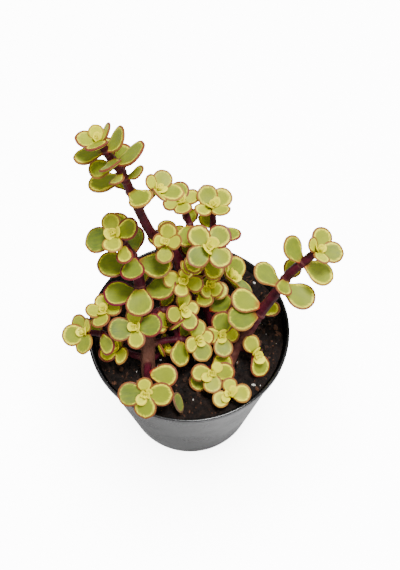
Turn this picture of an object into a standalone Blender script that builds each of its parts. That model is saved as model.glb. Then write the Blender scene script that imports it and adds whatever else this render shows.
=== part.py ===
"""A potted elephant bush: a round nursery pot, its soil, the woody stems and their fleshy leaves.

The origin is the centre of the pot's underside and +Z is up. Sizes are in millimetres until they
reach Blender, which works in metres. Leaves grow in opposite pairs, each pair about a quarter turn
round the stem from the one below it. A leaf that would touch what has already grown leans, turns
or stays smaller, as a crowded leaf does.
"""

import math

import bmesh
import bpy
from mathutils import Matrix, Quaternion, Vector
from mathutils.bvhtree import BVHTree

MM = 0.001
GAP = 0.3

# Pot
RIM_RADIUS = 52.5
BASE_RADIUS = 36.0
POT_HEIGHT = 85.0
WALL = 0.9
FLOOR = 1.6
LIP_HEIGHT = 3.0
LIP_OVERHANG = 0.9
FOOT_CHAMFER = 1.5
DRAIN_HOLES = 6
DRAIN_RADIUS = 4.0
DRAIN_CIRCLE = 25.0
ROUND_STEPS = 48

# Soil
SOIL_BELOW_RIM = 5.0
SOIL_BANK = 1.2
SOIL_TOP = POT_HEIGHT - SOIL_BELOW_RIM

# Stems
CLUMP_FORWARD = 2.2  # the plants stand this far in front of the pot's middle
ROOT_DEPTH = 12.0  # below a route's first point
ROUTE_STEP = 5.5
BEVEL_RESOLUTION = 2
BORE_STEPS = 16

# Leaves
LEAF_WIDTH = 1.05
LEAF_THICKNESS = 0.16
LEAF_TAPER = 0.3
LEAF_CUP = 0.05
LEAF_BEND = 0.06
LEAF_SIDES = 10
LEAF_ROWS = 4
LEAF_ROOT = 0.1
COLLAR_WALL = 0.7
SHOULDER = 1.4
COLLAR_HEIGHT = 2.0
COLLAR_SIDES = 8
BUD_LENGTH = 3.2
LEAF_CLEARANCE = 0.2
LEANS = (0, 8, -8, 16, -16, 26)
SWINGS = (0, 12, -12, 24, -24)
GROWTHS = (1.0, 0.93, 0.86, 0.78, 0.7, 0.6)

GREEN = (0.46, 0.58, 0.12)
MAROON = (0.10, 0.025, 0.035)
BLACK = (0.012, 0.012, 0.013)
PEAT = (0.022, 0.016, 0.012)

# Each plant is rooted once, and its other shoots branch from the first one. A route runs from the
# clump's middle on the soil's surface in millimetres, and girth is the radius at its two ends. A pair is
# (share of the route, turn, lengths, lifts): degrees round the stem from the viewer's left, and
# degrees of each leaf above the plane across the stem. The tip holds the last pairs and the bud.
PLANTS = {
    "left": {
        "main": {
            "route": [(-21, -22, 1.5), (-21, -17, 9), (-20, -11, 19), (-21, -4, 30), (-23, 4, 42),
                      (-24, 9, 50), (-26, 12, 59), (-29, 13, 66), (-32, 14, 72)],
            "girth": (3.7, 2.2),
            "pairs": [
                (0.55, 0, (15, 15), (15, 20)),
                (0.60, 90, (14, 12), (-15, 20)),
                (0.76, 0, (15, 16), (5, 0)),
                (0.82, 90, (12, 14), (25, 20)),
                (0.94, 100, (9, 13), (30, 30)),
            ],
            "tip": [(0, (14, 14), (5, 30)), (90, (10, 10), (45, 45))],
        },
        "front": {
            "route": [(-20, -9, 22), (-23, -11, 26), (-25, -12, 31)],
            "girth": (2.4, 1.6),
            "pairs": [],
            "tip": [(0, (13, 13), (20, 20)), (90, (10, 9), (0, 40))],
        },
        "low": {
            "route": [(-21, -14, 13), (-28, -11, 16), (-37, -10, 20), (-45, -9, 22),
                      (-49, -9, 23)],
            "girth": (2.2, 1.4),
            "pairs": [
                (0.80, 90, (11, 9), (0, 20)),
            ],
            "tip": [(90, (11, 10), (30, 30)), (0, (12, 8), (50, 50))],
        },
        "upturned": {
            "route": [(-36, -10, 19), (-40, -7, 25), (-41, -4, 31)],
            "girth": (1.6, 1.3),
            "pairs": [],
            "tip": [(0, (9, 9), (20, 30)), (90, (10, 9), (30, 30))],
        },
        "under": {
            "route": [(-21, -17, 8), (-28, -15, 9), (-34, -13, 11)],
            "girth": (1.9, 1.4),
            "pairs": [],
            "tip": [(90, (10, 10), (30, 30)), (0, (10, 9), (40, 40))],
        },
        "crossing": {
            "route": [(-21, -6, 27), (-15, -2, 31), (-9, -2, 32), (-5, -3, 33)],
            "girth": (2.0, 1.5),
            "pairs": [
                (0.55, 90, (10, 10), (10, 10)),
            ],
            "tip": [(0, (10, 9), (30, 30)), (90, (11, 9), (30, 30))],
        },
        "lower_crossing": {
            "route": [(-20, -13, 16), (-12, -12, 18), (-4, -12, 19), (2, -13, 20)],
            "girth": (2.0, 1.5),
            "pairs": [
                (0.70, 90, (12, 11), (10, 20)),
            ],
            "tip": [(90, (11, 10), (20, 20)), (0, (9, 9), (40, 40))],
        },
        "drooping": {
            "route": [(-21, -18, 8), (-21, -26, 12), (-21, -34, 14), (-21.5, -38, 16)],
            "girth": (2.1, 1.5),
            "pairs": [
                (0.50, 0, (9, 13), (10, 10)),
            ],
            "tip": [(0, (13, 13), (15, 15)), (90, (12, 8), (0, 30)), (45, (6, 4), (60, 60))],
        },
    },
    "tall": {
        "main": {
            "route": [(5, -3, 1.5), (3, 1, 15), (-1, 7, 34), (-4, 13, 52), (-10, 16, 64),
                      (-16, 15, 73), (-21, 17, 89), (-24, 18, 102), (-27, 19.5, 113),
                      (-31, 20.5, 121), (-34, 22, 128)],
            "girth": (3.3, 1.7),
            "pull": 0.15,
            "pairs": [
                (0.79, 130, (12, 9), (15, 20)),
                (0.845, 0, (14, 8), (10, 30)),
                (0.875, 80, (8, 11), (30, 30)),
                (0.91, 0, (10, 14), (10, 20)),
                (0.935, 100, (11, 9), (30, 30)),
                (0.97, 0, (12, 12), (10, 40)),
            ],
            "tip": [(0, (10, 9), (40, 50)), (90, (11, 7), (30, 60))],
        },
        "side": {
            "route": [(-21, 17, 90), (-17, 19, 94), (-14, 20, 97)],
            "girth": (1.8, 1.5),
            "pull": 0.3,
            "pairs": [],
            "tip": [(0, (8, 12), (50, 20)), (90, (9, 10), (40, 40))],
        },
        "middle": {
            "route": [(-3, 11, 44), (-6, 17, 48), (-8, 23, 53)],
            "girth": (2.0, 1.5),
            "pairs": [],
            "tip": [(0, (10, 10), (20, 20)), (90, (10, 10), (35, 35))],
        },
    },
    "back": {
        "main": {
            "route": [(10, 20, 1.5), (9, 18, 20), (7, 15, 40), (8, 13, 56), (10, 9, 68)],
            "girth": (2.8, 1.7),
            "pairs": [
                (0.46, 45, (11, 12), (20, 20)),
                (0.74, -45, (12, 10), (20, 20)),
                (0.84, 45, (10, 12), (20, 20)),
            ],
            "tip": [(-45, (12, 12), (10, 10)), (45, (12, 12), (20, 20))],
        },
        "upper_left": {
            "route": [(7, 15, 42), (4, 22, 51), (2, 28, 59), (-1, 35, 66)],
            "girth": (2.0, 1.5),
            "pairs": [
                (0.70, 80, (13, 9), (20, 20)),
            ],
            "tip": [(0, (9, 9), (20, 20)), (90, (10, 11), (35, 35))],
        },
        "upper_right": {
            "route": [(7, 16, 38), (11, 22, 48), (13, 27, 57), (13, 32, 66)],
            "girth": (2.0, 1.5),
            "pairs": [
                (0.70, 115, (13, 9), (20, 20)),
            ],
            "tip": [(30, (10, 11), (30, 30)), (120, (10, 11), (45, 45))],
        },
        "low": {
            "route": [(10, 19, 8), (15, 20, 14), (20, 22, 18)],
            "girth": (1.8, 1.4),
            "pull": 0.1,
            "pairs": [],
            "tip": [(0, (12, 14), (30, 10)), (90, (12, 13), (25, 45))],
        },
    },
    "middle": {
        "main": {
            "route": [(13, -5, 1.5), (12, 0, 10), (9, 5, 20), (8, 8, 28)],
            "girth": (2.2, 1.5),
            "pairs": [
                (0.66, 0, (10, 12), (20, 20)),
            ],
            "tip": [(0, (10, 10), (20, 20)), (90, (10, 10), (35, 35))],
        },
        "front": {
            "route": [(12, -2, 6), (15, -6, 12), (16, -8, 15)],
            "girth": (1.8, 1.4),
            "pairs": [],
            "tip": [(0, (10, 11), (20, 20)), (90, (11, 12), (35, 35))],
        },
    },
    "near": {
        "main": {
            "route": [(11, -20, 1.5), (11, -24, 5), (11, -26, 9)],
            "girth": (2.0, 1.5),
            "pairs": [
                (0.45, 45, (11, 11), (30, 30)),
            ],
            "tip": [(0, (10, 11), (20, 20)), (90, (10, 9), (35, 35)), (45, (6, 6), (60, 60))],
        },
    },
    "small": {
        "main": {
            "route": [(21, -35, 1.5), (20.5, -36, 3), (20, -37, 6)],
            "girth": (1.6, 1.3),
            "pairs": [],
            "tip": [(0, (9, 10), (20, 20)), (90, (8, 8), (30, 30)), (45, (5, 5), (60, 60))],
        },
    },
    "right": {
        "main": {
            "route": [(20, -17, 1.5), (23, -12, 7), (29, -8, 16), (36, -3, 29), (44, 2, 41),
                      (49, 5.5, 50), (56, 7.5, 58), (60, 8.5, 63)],
            "girth": (3.4, 2.0),
            "pull": 0.5,
            "pairs": [
                (0.42, 35, (15, 9), (10, 30)),
                (0.47, -5, (14, 8), (10, 30)),
                (0.67, -25, (13, 15), (20, 20)),
                (0.73, 70, (10, 10), (50, 20)),
                (0.89, -15, (13, 14), (30, 10)),
            ],
            "tip": [(0, (8, 12), (50, 20)), (90, (9, 11), (40, 30))],
        },
        "sprig": {
            "route": [(24, -11, 8), (28, -13, 9), (32, -16, 10)],
            "girth": (1.7, 1.4),
            "pairs": [],
            "tip": [(90, (12, 11), (0, 0)), (0, (4, 5), (50, 50))],
        },
    },
}

CLUMP = Vector((0, -CLUMP_FORWARD, 0))
LEFTWARD = Vector((-1, 0, 0))
LIGHT = Vector((0, -0.45, 0.9)).normalized()
LIGHT_PULL = 0.6
FALLEN_LEAF = {"centre": (-7, -40, 6), "length": 11, "tilt": 65}


def material(name, colour, roughness):
    made = bpy.data.materials.new(name)
    made.use_nodes = True
    shader = made.node_tree.nodes["Principled BSDF"]
    shader.inputs["Base Color"].default_value = (*colour, 1)
    shader.inputs["Roughness"].default_value = roughness
    shader.inputs["Metallic"].default_value = 0
    return made


def new_collection(name):
    made = bpy.data.collections.new(name)
    bpy.context.scene.collection.children.link(made)
    return made


def add_object(name, mesh, collection):
    obj = bpy.data.objects.new(name, mesh)
    collection.objects.link(obj)
    return obj


def mesh_object(name, bm, collection):
    mesh = bpy.data.meshes.new(name)
    bm.to_mesh(mesh)
    bm.free()
    return add_object(name, mesh, collection)


def evaluated_mesh(obj):
    bpy.context.view_layer.update()
    graph = bpy.context.evaluated_depsgraph_get()
    made = bpy.data.meshes.new_from_object(obj.evaluated_get(graph))
    made.name = obj.name
    return made


def welded(mesh, distance=1e-6):
    bm = bmesh.new()
    bm.from_mesh(mesh)
    bmesh.ops.remove_doubles(bm, verts=bm.verts, dist=distance)
    bmesh.ops.recalc_face_normals(bm, faces=bm.faces)
    bm.to_mesh(mesh)
    bm.free()


def apply_booleans(obj, others, operation):
    """Joins the other objects to obj, or cuts them from it, and removes them."""
    for other in others:
        boolean = obj.modifiers.new(other.name, "BOOLEAN")
        boolean.operation = operation
        boolean.solver = "EXACT"
        boolean.object = other
    made = evaluated_mesh(obj)
    obj.modifiers.clear()
    obj.data = made
    for other in others:
        bpy.data.objects.remove(other)


def turned(name, profile, collection):
    """The solid that a profile of (radius, height) makes when it turns about Z."""
    bm = bmesh.new()
    points = [bm.verts.new((x * MM, 0, z * MM)) for x, z in profile]
    for start, end in zip(points, points[1:]):
        bm.edges.new((start, end))
    obj = mesh_object(name, bm, collection)
    screw = obj.modifiers.new("turn", "SCREW")
    screw.steps = ROUND_STEPS
    screw.render_steps = ROUND_STEPS
    screw.use_merge_vertices = True
    screw.merge_threshold = 1e-5
    screw.use_smooth_shade = False
    return obj


def cylinder(name, radius, low, high, centre, steps, collection):
    bm = bmesh.new()
    bmesh.ops.create_cone(
        bm, cap_ends=True, segments=steps, radius1=radius * MM, radius2=radius * MM,
        depth=(high - low) * MM)
    obj = mesh_object(name, bm, collection)
    obj.location = (centre[0] * MM, centre[1] * MM, (low + high) / 2 * MM)
    return obj


def wall_radius(height):
    """The outer radius of the pot's wall at a height."""
    return BASE_RADIUS + (RIM_RADIUS - LIP_OVERHANG - BASE_RADIUS) * height / POT_HEIGHT


def make_pot(collection, helpers):
    lip_low = POT_HEIGHT - LIP_HEIGHT
    inner_top = wall_radius(POT_HEIGHT) - WALL
    profile = [
        (0, FLOOR),
        (wall_radius(FLOOR) - WALL, FLOOR),
        (inner_top, POT_HEIGHT - 0.6),
        (inner_top + 0.6, POT_HEIGHT),
        (RIM_RADIUS - 0.7, POT_HEIGHT),
        (RIM_RADIUS, POT_HEIGHT - 0.7),
        (RIM_RADIUS, lip_low),
        (wall_radius(lip_low), lip_low - 0.8),
        (wall_radius(FOOT_CHAMFER), FOOT_CHAMFER),
        (BASE_RADIUS - FOOT_CHAMFER, 0),
        (0, 0),
    ]
    pot = turned("pot", profile, collection)
    holes = []
    for index in range(DRAIN_HOLES):
        angle = 2 * math.pi * index / DRAIN_HOLES
        centre = (DRAIN_CIRCLE * math.cos(angle), DRAIN_CIRCLE * math.sin(angle))
        holes.append(cylinder(f"drain_{index}", DRAIN_RADIUS, -1, FLOOR + 1, centre, 16, helpers))
    apply_booleans(pot, holes, "DIFFERENCE")
    return pot


def make_soil(collection, helpers):
    edge = wall_radius(SOIL_TOP) - WALL - GAP - 0.1
    low = FLOOR + GAP
    profile = [
        (0, SOIL_TOP),
        (edge * 0.7, SOIL_TOP),
        (edge - 3, SOIL_TOP + SOIL_BANK),
        (edge, SOIL_TOP + SOIL_BANK * 0.7),
        (wall_radius(low) - WALL - GAP - 0.1, low),
        (0, low),
    ]
    soil = turned("soil", profile, collection)
    bores = []
    for name, shoots in PLANTS.items():
        root = Vector(shoots["main"]["route"][0]) + CLUMP
        radius = (shoots["main"]["girth"][0] + GAP) / math.cos(math.pi / BORE_STEPS)
        bores.append(cylinder(
            f"bore_{name}", radius, SOIL_TOP - ROOT_DEPTH - GAP, SOIL_TOP + 5, root, BORE_STEPS,
            helpers))
    apply_booleans(soil, bores, "DIFFERENCE")
    return soil


def smooth_route(points):
    """A Catmull-Rom curve through the points, in steps of about ROUTE_STEP."""
    points = [Vector(point) + CLUMP for point in points]
    padded = [2 * points[0] - points[1], *points, 2 * points[-1] - points[-2]]
    route = []
    for a, b, c, d in zip(padded, padded[1:], padded[2:], padded[3:]):
        steps = max(1, round((c - b).length / ROUTE_STEP))
        for step in range(steps):
            t = step / steps
            route.append(0.5 * (
                2 * b + (c - a) * t + (2 * a - 5 * b + 4 * c - d) * t ** 2
                + (3 * b - a - 3 * c + d) * t ** 3))
    route.append(points[-1])
    return route


def route_lengths(route):
    lengths = [0.0]
    for start, end in zip(route, route[1:]):
        lengths.append(lengths[-1] + (end - start).length)
    return lengths


def station(shoot, share):
    """The point, direction and stem radius at a share of the shoot's length."""
    route = smooth_route(shoot["route"])
    lengths = route_lengths(route)
    target = share * lengths[-1]
    index = 1
    while index < len(route) - 1 and lengths[index] < target:
        index += 1
    start = route[index - 1]
    direction = (route[index] - start).normalized()
    point = start + direction * (target - lengths[index - 1])
    thick, thin = shoot["girth"]
    return point, direction, thick + (thin - thick) * share


def stem_mesh(name, shoot, rooted, helpers):
    route = smooth_route(shoot["route"])
    lengths = route_lengths(route)
    thick, thin = shoot["girth"]
    girths = [thick + (thin - thick) * length / lengths[-1] for length in lengths]
    if rooted:
        route.insert(0, route[0] - Vector((0, 0, ROOT_DEPTH)))
        girths.insert(0, thick)
    data = bpy.data.curves.new(name, "CURVE")
    data.dimensions = "3D"
    data.bevel_depth = MM
    data.bevel_resolution = BEVEL_RESOLUTION
    data.use_fill_caps = True
    spline = data.splines.new("POLY")
    spline.points.add(len(route) - 1)
    for point, place, girth in zip(spline.points, route, girths):
        point.co = (place.x * MM, place.y * MM, (place.z + SOIL_TOP) * MM, 1)
        point.radius = girth
    curve = add_object(name + "_curve", data, helpers)
    mesh = evaluated_mesh(curve)
    bpy.data.objects.remove(curve)
    welded(mesh)
    return mesh


def make_stem(plant, shoots, collection, helpers):
    stem = add_object(f"stem_{plant}", stem_mesh(plant, shoots["main"], True, helpers), collection)
    branches = []
    for name, shoot in shoots.items():
        if name != "main":
            branches.append(add_object(name, stem_mesh(name, shoot, False, helpers), helpers))
    apply_booleans(stem, branches, "UNION")
    welded(stem.data)
    return stem


def leaf_bmesh(length, growth=0.0):
    """A leaf along +X from the origin with its upper face to +Z, in millimetres. growth swells it."""
    bm = bmesh.new()
    bmesh.ops.create_uvsphere(bm, u_segments=LEAF_SIDES, v_segments=LEAF_ROWS, radius=1)
    half_width = length * LEAF_WIDTH / 2
    for vert in bm.verts:
        x, y, z = vert.co
        along = (x + 1) / 2
        side = y * (1 - LEAF_TAPER * (1 - along))
        vert.co.x = length * along + growth * x
        vert.co.y = (half_width + growth) * side
        vert.co.z = (
            (length * LEAF_THICKNESS / 2 + growth) * z
            + length * LEAF_CUP * side * side
            + length * LEAF_BEND * (2 * along - 1) ** 2)
    return bm


def leaf_matrix(place, out, direction, lift, light_pull):
    """Stands a leaf at place, pointing outward and lifted along the stem, then pulled to light."""
    axis = out * math.cos(lift) + direction * math.sin(lift)
    normal = direction * math.cos(lift) - out * math.sin(lift)
    pull = Quaternion().slerp(normal.rotation_difference(LIGHT), light_pull)
    axis = pull @ axis
    normal = pull @ normal
    across = normal.cross(axis)
    turn = Matrix((axis, across, normal)).transposed().to_4x4()
    return Matrix.Translation(place) @ turn


def is_clear(bm, grown):
    tree = BVHTree.FromBMesh(bm)
    return not any(tree.overlap(other) for other in grown)


def settled_leaf(place, out, direction, length, lift, start, light_pull, grown):
    """The leaf's size and matrix nearest to those asked for that keep clear of what has grown.

    It is None where nothing fits, and that leaf isn't grown."""
    choices = []
    for growth in GROWTHS:
        for lean in LEANS:
            for swing in SWINGS:
                cost = (1 - growth) * 90 + abs(lean) + abs(swing) * 0.7
                choices.append((cost, growth, lean, swing))
    for _, growth, lean, swing in sorted(choices):
        side = Matrix.Rotation(math.radians(swing), 3, direction) @ out
        size = length * growth
        matrix = leaf_matrix(
            place + side * start, side, direction, math.radians(lift + lean), light_pull)
        trial = leaf_bmesh(size, LEAF_CLEARANCE)
        trial.transform(matrix)
        clear = is_clear(trial, grown)
        trial.free()
        if clear:
            return size, matrix
    return None


def across_stem(direction):
    """The viewer's left, squared to the stem."""
    return (LEFTWARD - direction * LEFTWARD.dot(direction)).normalized()


def standing(axis, direction, place):
    """The matrix that stands a body's Z along direction and its X along axis."""
    turn = Matrix((axis, direction.cross(axis), direction)).transposed().to_4x4()
    return Matrix.Translation(place) @ turn


def collar_bmesh(inner, out, direction, place):
    """The swollen joint round a stem, with a shoulder on each side that a leaf grows from."""
    half = COLLAR_HEIGHT / 2
    bm = bmesh.new()
    rings = []
    for wall, height in ((0, -half), (COLLAR_WALL, -half), (COLLAR_WALL, half), (0, half)):
        ring = []
        for step in range(COLLAR_SIDES):
            angle = 2 * math.pi * step / COLLAR_SIDES
            radius = inner + wall * (1 + SHOULDER * math.cos(angle) ** 4)
            ring.append(bm.verts.new(
                (radius * math.cos(angle), radius * math.sin(angle), height)))
        rings.append(ring)
    for index, ring in enumerate(rings):
        following = rings[(index + 1) % len(rings)]
        for step in range(COLLAR_SIDES):
            other = (step + 1) % COLLAR_SIDES
            bm.faces.new((ring[step], ring[other], following[other], following[step]))
    bmesh.ops.recalc_face_normals(bm, faces=bm.faces)
    bm.transform(standing(out, direction, place))
    return bm


def bud_bmesh(radius, direction, place):
    bm = bmesh.new()
    bmesh.ops.create_uvsphere(bm, u_segments=COLLAR_SIDES, v_segments=LEAF_ROWS, radius=1)
    for vert in bm.verts:
        vert.co.x *= radius
        vert.co.y *= radius
        vert.co.z = vert.co.z * BUD_LENGTH / 2 + BUD_LENGTH / 2 + GAP
    bm.transform(standing(across_stem(direction), direction, place))
    return bm


def to_scene(bm):
    """Moves a body from millimetres above the soil's middle to metres above the pot's base."""
    bm.transform(Matrix.Scale(MM, 4) @ Matrix.Translation((0, 0, SOIL_TOP)))


def joined_leaves(name, base, leaves, grown, collection, helpers):
    """Joins leaves to their collar or bud as one body and adds it to what has grown."""
    to_scene(base)
    body = mesh_object(name, base, collection)
    others = []
    for index, (size, matrix) in enumerate(leaves):
        leaf = leaf_bmesh(size)
        leaf.transform(matrix)
        to_scene(leaf)
        others.append(mesh_object(f"{name}_leaf_{index}", leaf, helpers))
    apply_booleans(body, others, "UNION")
    welded(body.data)
    grown.append(tree_in_millimetres(body))
    return body


def tree_in_millimetres(obj):
    bm = bmesh.new()
    bm.from_mesh(obj.data)
    bm.transform(Matrix.Translation((0, 0, -SOIL_TOP)) @ Matrix.Scale(1 / MM, 4))
    tree = BVHTree.FromBMesh(bm)
    bm.free()
    return tree


def grow_pair(name, shoot, pair, grown, collection, helpers):
    share, turn, lengths, lifts = pair
    point, direction, radius = station(shoot, share)
    out = Matrix.Rotation(math.radians(turn), 3, direction) @ across_stem(direction)
    inner = (radius + GAP) / math.cos(math.pi / COLLAR_SIDES)
    collar = collar_bmesh(inner, out, direction, point)
    light_pull = shoot.get("pull", LIGHT_PULL)
    leaves = []
    for side, length, lift in zip((out, -out), lengths, lifts):
        found = settled_leaf(
            point, side, direction, length, lift, inner + LEAF_ROOT, light_pull, grown)
        if found:
            leaves.append(found)
    return joined_leaves(name, collar, leaves, grown, collection, helpers)


def grow_tip(name, shoot, grown, collection, helpers):
    point, direction, radius = station(shoot, 1)
    bud = bud_bmesh(radius, direction, point)
    light_pull = shoot.get("pull", LIGHT_PULL)
    leaves = []
    for index, (turn, lengths, lifts) in enumerate(shoot["tip"]):
        out = Matrix.Rotation(math.radians(turn), 3, direction) @ across_stem(direction)
        place = point + direction * (GAP + BUD_LENGTH * (0.4 + 0.12 * index))
        for side, length, lift in zip((out, -out), lengths, lifts):
            found = settled_leaf(
                place, side, direction, length, lift, radius * 0.4, light_pull, grown)
            if found:
                leaves.append(found)
    return joined_leaves(name, bud, leaves, grown, collection, helpers)


def make_fallen_leaf(collection):
    leaf = leaf_bmesh(FALLEN_LEAF["length"])
    leaf.transform(Matrix.Translation((-FALLEN_LEAF["length"] / 2, 0, 0)))
    leaf.transform(
        Matrix.Translation(Vector(FALLEN_LEAF["centre"]) + CLUMP)
        @ Matrix.Rotation(math.radians(FALLEN_LEAF["tilt"]), 4, "Y"))
    to_scene(leaf)
    return mesh_object("leaf_fallen", leaf, collection)


def finish(obj, look):
    obj.data.materials.clear()
    obj.data.materials.append(look)
    obj.data.shade_smooth()
    obj.data.set_sharp_from_angle(angle=math.radians(40))


def build():
    for obj in list(bpy.data.objects):
        bpy.data.objects.remove(obj)
    plant = new_collection("potted_elephant_bush")
    helpers = new_collection("helpers")
    helpers.hide_render = True
    leaf_look = material("leaf", GREEN, 0.4)
    stem_look = material("stem", MAROON, 0.5)
    pot_look = material("pot", BLACK, 0.25)
    soil_look = material("soil", PEAT, 0.95)

    pot = make_pot(plant, helpers)
    finish(pot, pot_look)
    soil = make_soil(plant, helpers)
    finish(soil, soil_look)
    grown = [tree_in_millimetres(pot), tree_in_millimetres(soil)]
    for name, shoots in PLANTS.items():
        stem = make_stem(name, shoots, plant, helpers)
        finish(stem, stem_look)
        grown.append(tree_in_millimetres(stem))
    for name, shoots in PLANTS.items():
        for shoot_name, shoot in shoots.items():
            for index, pair in enumerate(shoot["pairs"], 1):
                finish(grow_pair(
                    f"leaves_{name}_{shoot_name}_{index}", shoot, pair, grown, plant, helpers),
                    leaf_look)
            finish(grow_tip(
                f"leaves_{name}_{shoot_name}_tip", shoot, grown, plant, helpers), leaf_look)
    finish(make_fallen_leaf(plant), leaf_look)


build()
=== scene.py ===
import math
import random

import bmesh
import bpy
import numpy as np
from mathutils import Euler, Matrix, Vector, noise
from mathutils.bvhtree import BVHTree


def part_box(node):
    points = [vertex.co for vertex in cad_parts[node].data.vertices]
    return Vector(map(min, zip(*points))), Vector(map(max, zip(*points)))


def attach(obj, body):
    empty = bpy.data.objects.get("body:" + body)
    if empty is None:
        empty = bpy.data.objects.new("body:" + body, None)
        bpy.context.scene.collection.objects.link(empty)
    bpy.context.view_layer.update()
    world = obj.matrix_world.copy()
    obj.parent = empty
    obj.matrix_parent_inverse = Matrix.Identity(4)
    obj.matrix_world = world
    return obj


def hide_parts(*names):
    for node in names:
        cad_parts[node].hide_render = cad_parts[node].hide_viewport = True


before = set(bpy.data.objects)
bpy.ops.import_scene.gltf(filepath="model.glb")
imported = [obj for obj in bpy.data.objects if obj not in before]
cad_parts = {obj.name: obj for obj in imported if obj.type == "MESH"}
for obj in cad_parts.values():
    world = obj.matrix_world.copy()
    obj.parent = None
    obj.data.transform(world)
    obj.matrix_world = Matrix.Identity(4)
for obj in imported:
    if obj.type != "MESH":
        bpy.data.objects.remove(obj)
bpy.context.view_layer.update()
millimetre = 0.001  # the script works in millimetres, and a mesh gets metres when it is made


def report(text):
    print("elephant bush:", text)


def removeStartScene():
    for name in ("Cube", "Camera", "Light"):
        spare = bpy.data.objects.get(name)
        if spare is not None:
            bpy.data.objects.remove(spare)


# small tools for meshes, all of them working in millimetres


def makePiece(name, corners, faces, material, smooth=True):
    mesh = bpy.data.meshes.new(name)
    mesh.from_pydata((np.asarray(corners) * millimetre).tolist(), [], faces)
    mesh.materials.append(material)
    mesh.polygons.foreach_set("use_smooth", [smooth] * len(mesh.polygons))
    mesh.update()
    piece = bpy.data.objects.new(name, mesh)
    bpy.context.scene.collection.objects.link(piece)
    return piece


def giveValues(piece, name, values):
    attribute = piece.data.attributes.new(name, "FLOAT", "POINT")
    attribute.data.foreach_set("value", np.asarray(values, np.float32))


def giveVectors(piece, name, values):
    attribute = piece.data.attributes.new(name, "FLOAT_VECTOR", "POINT")
    attribute.data.foreach_set("vector", np.asarray(values, np.float32).ravel())


def putOnRoot(piece, slotName, *nodes):
    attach(piece, "root")
    if nodes:
        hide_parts(*nodes)
    return piece


def readVectors(owner, name):
    found = np.empty(len(owner) * 3)
    owner.foreach_get(name, found)
    return found.reshape(-1, 3)


def cadMesh(name):
    # corners and triangles of a node, with equal corners welded
    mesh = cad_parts[name].data
    mesh.calc_loop_triangles()
    corners = readVectors(mesh.vertices, "co") / millimetre
    faces = np.empty(len(mesh.loop_triangles) * 3, np.int32)
    mesh.loop_triangles.foreach_get("vertices", faces)
    _, first, index = np.unique(
        np.round(corners, 2), axis=0, return_index=True, return_inverse=True
    )
    return corners[first], index.reshape(-1)[faces].reshape(-1, 3)


def nodesCalled(start):
    return sorted(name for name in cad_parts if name.startswith(start))


def smoothStep(low, high, value):
    share = np.clip((value - low) / (high - low), 0, 1)
    return share * share * (3 - 2 * share)


def unit(vector):
    return vector / np.linalg.norm(vector)


def noiseAt(points, size, seed):
    # smooth noise from -1 to 1 whose lumps are about size millimetres wide
    shift = Vector((seed * 7.31, seed * 3.17, seed * 5.53))
    return np.array([noise.noise(Vector(point) / size + shift) for point in points])


def either(chance, reach):
    return chance.uniform(-reach, reach)


def circle(radius, level, sides, turn=0.0):
    # corners of a level ring, turned by a share of one side
    angles = [math.tau * (side + turn) / sides for side in range(sides)]
    return [(radius * math.cos(angle), radius * math.sin(angle), level) for angle in angles]


def tubeFaces(rows, sides):
    # joins rows of corners to a closed tube, with the middles of its two ends listed after the rows
    faces = []
    top = (rows - 1) * sides
    for side in range(sides):
        after = (side + 1) % sides
        faces.append((rows * sides, after, side))
        faces.append((rows * sides + 1, top + side, top + after))
        for near in range(0, top, sides):
            far = near + sides
            faces.append((near + side, near + after, far + after, far + side))
    return faces


# shader tools


def newMaterial(name, **constants):
    material = bpy.data.materials.new(name)
    material.use_nodes = True
    shader = material.node_tree.nodes["Principled BSDF"]
    for socket, value in constants.items():
        shader.inputs[socket.replace("_", " ")].default_value = value
    return material, material.node_tree, shader


def addNode(tree, kind, inputs=None, **settings):
    node = tree.nodes.new(kind)
    for name, value in settings.items():
        setattr(node, name, value)
    for socket, value in (inputs or {}).items():
        plug(tree, node.inputs[socket], value)
    return node


def plug(tree, socket, value):
    if isinstance(value, bpy.types.NodeSocket):
        tree.links.new(value, socket)
    elif isinstance(value, tuple) and len(value) == 3 and socket.type == "RGBA":
        socket.default_value = (*value, 1.0)
    else:
        socket.default_value = value


def mathNode(tree, operation, first, second=0.5, third=0.5):
    node = addNode(tree, "ShaderNodeMath", {0: first, 1: second, 2: third}, operation=operation)
    return node.outputs[0]


def fade(tree, value, low, high, start=0.0, end=1.0):
    # smooth change from start at low to end at high
    node = addNode(
        tree,
        "ShaderNodeMapRange",
        {"Value": value, "From Min": low, "From Max": high, "To Min": start, "To Max": end},
        interpolation_type="SMOOTHSTEP",
    )
    return node.outputs["Result"]


def mixColour(tree, share, first, second):
    node = addNode(tree, "ShaderNodeMix", data_type="RGBA")
    plug(tree, node.inputs[0], share)
    plug(tree, node.inputs[6], first)
    plug(tree, node.inputs[7], second)
    return node.outputs[2]


def layer(tree, colour, over, share, *moreShares):
    # paints over a colour, as strongly as the shares multiplied
    for more in moreShares:
        share = mathNode(tree, "MULTIPLY", share, more)
    return mixColour(tree, share, colour, over)


def readValue(tree, name):
    return addNode(tree, "ShaderNodeAttribute", attribute_name=name).outputs["Fac"]


def readVector(tree, name):
    return addNode(tree, "ShaderNodeAttribute", attribute_name=name).outputs["Vector"]


def objectPlace(tree):
    return addNode(tree, "ShaderNodeTexCoord").outputs["Object"]


def stretched(tree, place, scale):
    node = addNode(tree, "ShaderNodeVectorMath", {0: place, 1: scale}, operation="MULTIPLY")
    return node.outputs[0]


def finishShader(tree, shader, colour, rough, *roughMasks):
    # joins the colour, and a plain roughness with what each mask adds to it
    tree.links.new(colour, shader.inputs["Base Color"])
    for mask, amount in roughMasks:
        rough = mathNode(tree, "MULTIPLY_ADD", mask, amount, rough)
    tree.links.new(rough, shader.inputs["Roughness"])


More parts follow.
